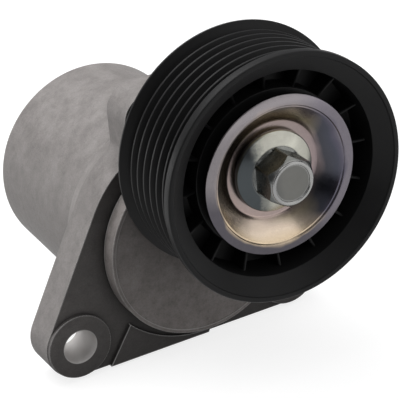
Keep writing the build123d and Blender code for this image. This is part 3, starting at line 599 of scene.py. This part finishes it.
def make_pulley():
    """The moulding turned from its outline, with ribs in front of and behind its web."""
    front = pulley_size()[2]
    front_rib = [
        (RIB_INNER_R, WEB_FRONT - RIB_SINK),
        (RIB_OUTER_R, WEB_FRONT - RIB_SINK),
        (RIB_OUTER_R, front - 7.4),
        (RIB_INNER_R, front - 9.0),
    ]
    rear_rib = [
        (RIB_INNER_R, 32.0),
        (RIB_OUTER_R, 32.0),
        (RIB_OUTER_R, 21.9),
        (RIB_INNER_R, 27.3),
    ]
    bm = bmesh.new()
    lathe(bm, pulley_outline(), PULLEY_AXIS, 288)
    for step in range(RIB_COUNT):
        angle = 2 * math.pi * step / RIB_COUNT
        add_rib(bm, angle, front_rib, 0.9, 0.2)
        add_rib(bm, angle, rear_rib, 1.3, 0.25)
    mesh = finish_mesh(bm, "pulley_moulding")
    new_piece("pulley_moulding", mesh, "pulley_plastic", "pulley_body", "pulley")


# ---- front dust shield, bolt and spring -----------------------------------------------------------
SHIELD_BORE_R = 5.25
SHIELD_SHEET = 1.0
SHIELD_DISH_FILLET = 1.6
SHIELD_DISH_H = 5.0     # of the dish's wall, behind the lip
SHIELD_LIP_TOP = 6.7
SHIELD_RIM_R = 22.9
SHIELD_RIM_H = 5.1


def make_front_shield():
    """Dished washer: flat seat, conical wall and a lip that is rolled over to the rim."""
    seat = -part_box("front_dust_shield")[1].y / MM
    outline = rounded([
        (SHIELD_BORE_R, seat + SHIELD_SHEET, 0.2),
        (13.9, seat + SHIELD_SHEET, SHIELD_DISH_FILLET),
        (19.25, seat + 6.1, 0.25),
        (19.65, seat + 6.2, 0.15),
        (19.95, seat + SHIELD_LIP_TOP, 0.25),
        (SHIELD_RIM_R, seat + SHIELD_RIM_H + SHIELD_SHEET, 0.4),
        (SHIELD_RIM_R, seat + SHIELD_RIM_H, 0.3),
        (20.3, seat + SHIELD_LIP_TOP - SHIELD_SHEET, 0.2),
        (20.1, seat + SHIELD_DISH_H, 0.2),
        (19.4, seat + SHIELD_DISH_H, 0.3),
        (14.4, seat, SHIELD_DISH_FILLET),
        (SHIELD_BORE_R, seat, 0.2),
    ], 6)
    bm = bmesh.new()
    lathe(bm, outline, PULLEY_AXIS, 240)
    mesh = finish_mesh(bm, "front_shield_pressing")
    new_piece("front_shield_pressing", mesh, "plated_sheet", "arm", "front_dust_shield", 50)


BOLT_HEAD_H = 11.7      # of head and flange together
SHANK_R = 5.0
SHANK_TIP = 0.8         # chamfer at the shank's end
BOLT_FLANGE_R = 11.7
HALF_FLATS = 6.55
HALF_CORNERS = 7.45     # the hexagon's corners are rounded off at this radius
HEAD_ROOT = 3.4         # of the hexagon above the seat
HEAD_CHAMFER = 52       # degrees
RING_R = 6.4            # foot of the ring on the head's end
RING_FOOT = 0.6         # below the head's top
BEAD_R = 5.72           # the ring is a half-round bead about this radius
BEAD_HALF_WIDTH = 0.62
BEAD_H = 0.55
BEAD_STEPS = 8
HAIR = 0.01             # a point this near to the head's side still belongs to it


def make_bolt():
    """Flange bolt: flange and shank are turned, the head's six sides come from the angle."""
    low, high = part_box("pulley_bolt")
    top = -low.y / MM
    tip = -high.y / MM
    seat = top - BOLT_HEAD_H
    ring_foot = top - RING_FOOT
    head_root = seat + HEAD_ROOT

    def hexagon(angle, radius, forward):
        if radius < HALF_FLATS - HAIR or forward < head_root - HAIR:
            return radius, forward
        turn = (angle - math.radians(30)) % math.radians(60) - math.radians(30)
        side = min(HALF_FLATS / math.cos(turn), HALF_CORNERS)
        chamfer = ring_foot - (side - RING_R) * math.tan(math.radians(HEAD_CHAMFER))
        return side, min(forward, chamfer)

    turned = rounded([
        (0, tip),
        (SHANK_R - SHANK_TIP, tip, 0.2),
        (SHANK_R, tip + SHANK_TIP, 0.2),
        (SHANK_R, seat, 0.1),
        (11.3, seat, 0.2),
        (BOLT_FLANGE_R, seat + 1.0, 0.5),
        (11.6, seat + 2.0, 0.5),
        (7.8, seat + 3.2, 0.6),
        (7.5, seat + 3.3, 0.1),
    ])
    head = [Vector((HALF_FLATS, forward)) for forward in (head_root, seat + 7, top)]
    face = [Vector((RING_R, ring_foot))]
    for step in range(BEAD_STEPS + 1):
        turn = math.pi * step / BEAD_STEPS
        radius = BEAD_R + BEAD_HALF_WIDTH * math.cos(turn)
        face.append(Vector((radius, top - BEAD_H + BEAD_H * math.sin(turn))))
    face += [Vector((4.6, top - 0.62)), Vector((0, top - 0.66))]
    bm = bmesh.new()
    lathe(bm, turned + head + face, PULLEY_AXIS, 240, closed=False, shape=hexagon)
    mesh = finish_mesh(bm, "bolt_forging")
    new_piece("bolt_forging", mesh, "plated_bolt", "arm", "pulley_bolt", 35)


def make_spring():
    """The coil again, as a piece of its own in place of the CAD node."""
    mesh = nodes["torsion_spring"].data.copy()
    piece = bpy.data.objects.new("winding_spring", mesh)
    bpy.context.scene.collection.objects.link(piece)
    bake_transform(piece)
    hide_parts("torsion_spring")


make_pulley()
make_front_shield()
make_bolt()
make_spring()


# ---- camera, light and floor -----------------------------------------------------------------
CAMERA_AT = Vector((-0.2304, -0.4885, 0.2814))
CAMERA_LENS = 191.4     # mm, on a sensor 36 mm wide
CAMERA_SENSOR = 36
CAMERA_ANGLES = (-26.55, 26.74, -5.58)  # degrees: azimuth, elevation and roll


def add_camera():
    """Places the camera by its angles: back is the way from the part to the camera."""
    data = bpy.data.cameras.new("camera")
    data.lens = CAMERA_LENS
    data.sensor_width = CAMERA_SENSOR
    data.clip_start = 0.01
    camera = bpy.data.objects.new("camera", data)
    bpy.context.scene.collection.objects.link(camera)
    azimuth, elevation, roll = (math.radians(angle) for angle in CAMERA_ANGLES)
    back = Vector((
        math.sin(azimuth) * math.cos(elevation),
        -math.cos(azimuth) * math.cos(elevation),
        math.sin(elevation),
    ))
    level = Vector((math.cos(azimuth), math.sin(azimuth), 0))
    up = back.cross(level)
    right = math.cos(roll) * level + math.sin(roll) * up
    up = math.cos(roll) * up - math.sin(roll) * level
    turn = Matrix((right, up, back)).transposed().to_4x4()
    camera.matrix_world = Matrix.Translation(CAMERA_AT) @ turn
    bpy.context.scene.camera = camera


def area_light(name, at, target, size, power, height=None):
    """A soft box aimed at a target: square, or a rectangle where it has a height."""
    data = bpy.data.lights.new(name, "AREA")
    data.size = size
    if height:
        data.shape = "RECTANGLE"
        data.size_y = height
    data.energy = power
    lamp = bpy.data.objects.new(name, data)
    lamp.location = at
    aim = Vector(at) - Vector(target)
    lamp.rotation_euler = aim.to_track_quat("Z", "Y").to_euler()
    bpy.context.scene.collection.objects.link(lamp)


FLOOR_HALF = 3.0
PAPER_GREY = 0.22       # what lights the object from below
SEEN_GREY = 0.3         # what the camera and mirrored rays see under the glow
GLOW_GREY = 0.8


def add_floor():
    """Pale paper. Camera, glossy and transmission rays see it white, with the shadow kept."""
    low = cad_box[0][2]
    mesh = bpy.data.meshes.new("floor")
    corners = [(x * FLOOR_HALF, y * FLOOR_HALF, low) for x, y in ((-1, -1), (1, -1), (1, 1), (-1, 1))]
    mesh.from_pydata(corners, [], [(0, 1, 2, 3)])
    floor = bpy.data.objects.new("floor", mesh)
    bpy.context.scene.collection.objects.link(floor)
    m = Nodes("floor_paper")
    m.tree.nodes.remove(m.shader)
    rays = m.add("ShaderNodeLightPath")
    seen = m.math("MAXIMUM", rays.outputs["Is Camera Ray"], rays.outputs["Is Glossy Ray"])
    seen = m.math("MAXIMUM", seen, rays.outputs["Is Transmission Ray"])
    paper = m.add("ShaderNodeBsdfDiffuse")
    paper.inputs["Color"].default_value = (PAPER_GREY, PAPER_GREY, PAPER_GREY, 1)
    thin = m.add("ShaderNodeBsdfDiffuse")
    thin.inputs["Color"].default_value = (SEEN_GREY, SEEN_GREY, SEEN_GREY, 1)
    glow = m.add("ShaderNodeEmission")
    glow.inputs["Color"].default_value = (GLOW_GREY, GLOW_GREY, GLOW_GREY, 1)
    both = m.add("ShaderNodeAddShader")
    m.link(thin.outputs[0], both.inputs[0])
    m.link(glow.outputs[0], both.inputs[1])
    choose = m.add("ShaderNodeMixShader")
    m.link(seen, choose.inputs[0])
    m.link(paper.outputs[0], choose.inputs[1])
    m.link(both.outputs[0], choose.inputs[2])
    m.link(choose.outputs[0], m.tree.nodes["Material Output"].inputs["Surface"])
    mesh.materials.append(m.material)


def add_world():
    """A plain room: light above and behind, dim in front where the photographer stands."""
    world = bpy.data.worlds.new("studio")
    world.use_nodes = True
    bpy.context.scene.world = world
    tree = world.node_tree
    coords = tree.nodes.new("ShaderNodeTexCoord")
    aim = tree.nodes.new("ShaderNodeVectorMath")
    aim.operation = "DOT_PRODUCT"
    aim.inputs[1].default_value = (-0.25, 0.75, 0.61)
    ramp = tree.nodes.new("ShaderNodeValToRGB")
    ramp.color_ramp.elements[0].color = (0.03, 0.03, 0.033, 1)
    ramp.color_ramp.elements[1].color = (0.5, 0.5, 0.51, 1)
    ramp.color_ramp.elements[0].position = 0.0
    ramp.color_ramp.elements[1].position = 0.7
    tree.links.new(coords.outputs["Generated"], aim.inputs[0])
    tree.links.new(aim.outputs["Value"], ramp.inputs["Fac"])
    tree.links.new(ramp.outputs["Color"], tree.nodes["Background"].inputs["Color"])
    tree.nodes["Background"].inputs["Strength"].default_value = 1.0


PULLEY_TARGET = (0.015, -0.03, 0.03)

add_camera()
area_light("overhead_box", (-0.10, 0.18, 0.55), (0, 0.02, 0), 0.6, 3.5)
area_light("left_box", (-0.6, 0.0, 0.20), (0, 0, 0), 0.4, 0.5)
area_light("front_card", (0.31, -0.60, 0.09), (0.015, -0.04, 0.03), 0.7, 0.75, 0.28)
area_light("front_panel", (0.34, -0.31, 0.45), PULLEY_TARGET, 0.6, 1.45)
area_light("right_card", (0.72, -0.10, 0.14), PULLEY_TARGET, 0.3, 0.3)
area_light("top_card", (-0.20, -0.41, 0.45), PULLEY_TARGET, 0.5, 0.28)
area_light("back_card", (-0.42, 0.40, 0.04), (-0.034, 0, -0.02), 0.16, 0.35, 0.1)
add_floor()
add_world()
bpy.context.scene.view_settings.view_transform = "Standard"
